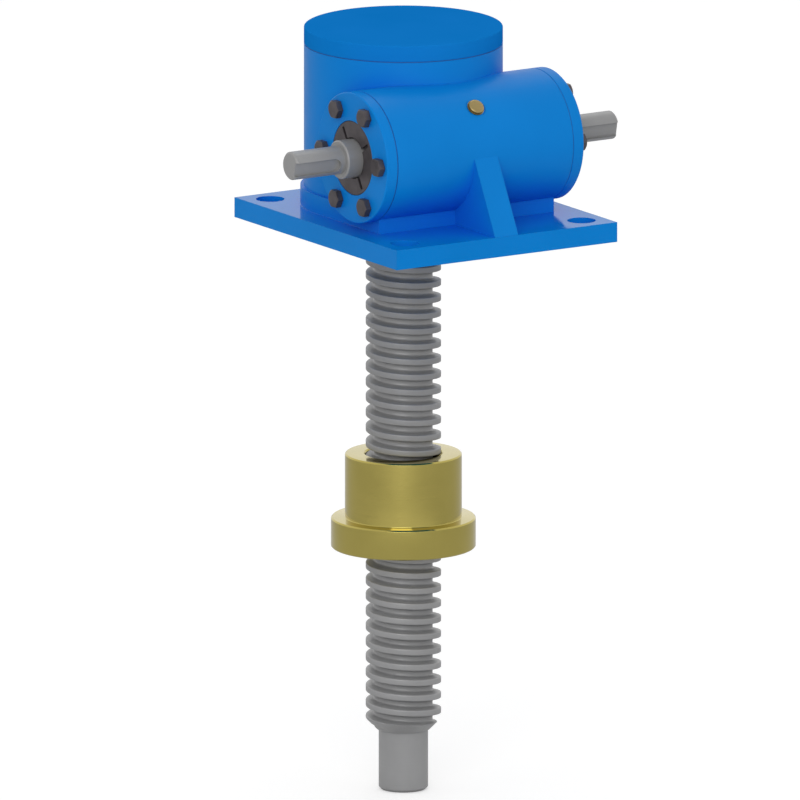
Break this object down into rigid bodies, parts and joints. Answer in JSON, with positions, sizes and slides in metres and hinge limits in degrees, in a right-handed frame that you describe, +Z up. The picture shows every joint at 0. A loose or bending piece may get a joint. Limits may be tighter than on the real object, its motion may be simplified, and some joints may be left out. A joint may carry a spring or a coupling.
{
  "type": "worm screw jack",
  "caption": "Worm gear screw jack with a drum housing on a bolt-down plate, a double-ended keyed worm shaft and a flanged bronze nut that travels on a rotating left-hand trapezoidal spindle.",
  "frame": {"origin": "where the spindle's axis meets the underside of the base plate", "axes": "+Z up along the spindle's axis, +X along the worm shaft to the end on the right seen from the worm's side, +Y away from the worm"},
  "size_m": [0.292, 0.235, 0.5988],
  "materials": {
    "blue_paint": "smooth gloss enamel on a fine casting",
    "turned_steel": "turned and milled, light oil film",
    "bearing_steel": "ground and polished",
    "black_steel": "black oxide",
    "shim_steel": "rolled",
    "bronze": "turned tin bronze",
    "brass": "bright",
    "seal_rubber": "matt nitrile rubber",
    "sealant": "matt fibre and sealant"
  },
  "bodies": {
    "gearbox": {"housing": "blue_paint", "top_cover": "blue_paint", "top_cover_gasket": "sealant", "cover_lock_screws": "black_steel", "worm_cover_left": "blue_paint", "worm_cover_right": "blue_paint", "worm_cover_shims": "shim_steel", "cover_bolts_left": "black_steel", "cover_bolts_right": "black_steel", "adjuster_ring_left": "black_steel", "adjuster_ring_right": "black_steel", "worm_seals": "seal_rubber", "worm_bearing_cups": "bearing_steel", "lower_housing_washer": "bearing_steel", "upper_housing_washer": "bearing_steel", "spindle_seal": "seal_rubber", "oil_plug": "brass", "oil_plug_washer": "brass"},
    "screw": {"spindle": "turned_steel", "worm_wheel": "bronze", "wheel_key": "turned_steel", "lower_shaft_washer": "bearing_steel", "lower_thrust_balls": "bearing_steel", "lower_thrust_cage": "brass", "upper_shaft_washer": "bearing_steel", "upper_thrust_balls": "bearing_steel", "upper_thrust_cage": "brass", "tab_washer": "turned_steel", "lock_nut": "turned_steel"},
    "worm": {"worm_shaft": "turned_steel", "worm_bearing_cones": "bearing_steel", "worm_bearing_rollers": "bearing_steel", "worm_bearing_cages": "brass"},
    "nut": {"travelling_nut": "bronze"}
  },
  "joints": [
    {"name": "screw_spin", "type": "hinge", "parent": "gearbox", "child": "screw", "pos_m": [0, 0, 0], "axis": [0, 0, 1], "range_deg": [-3780, 4680]},
    {"name": "worm_spin", "type": "hinge", "parent": "gearbox", "child": "worm", "pos_m": [0, -0.0685, 0.0725], "axis": [1, 0, 0], "range_deg": [-112321, 90721]},
    {"name": "nut_travel", "type": "slide", "parent": "gearbox", "child": "nut", "axis": [0, 0, 1], "range_m": [-0.126, 0.156]}
  ],
  "couplings": [
    {"joint": "worm_spin", "follows": "screw_spin", "ratio": -24},
    {"joint": "nut_travel", "follows": "screw_spin", "m_per_rad": 0.0019099}
  ]
}
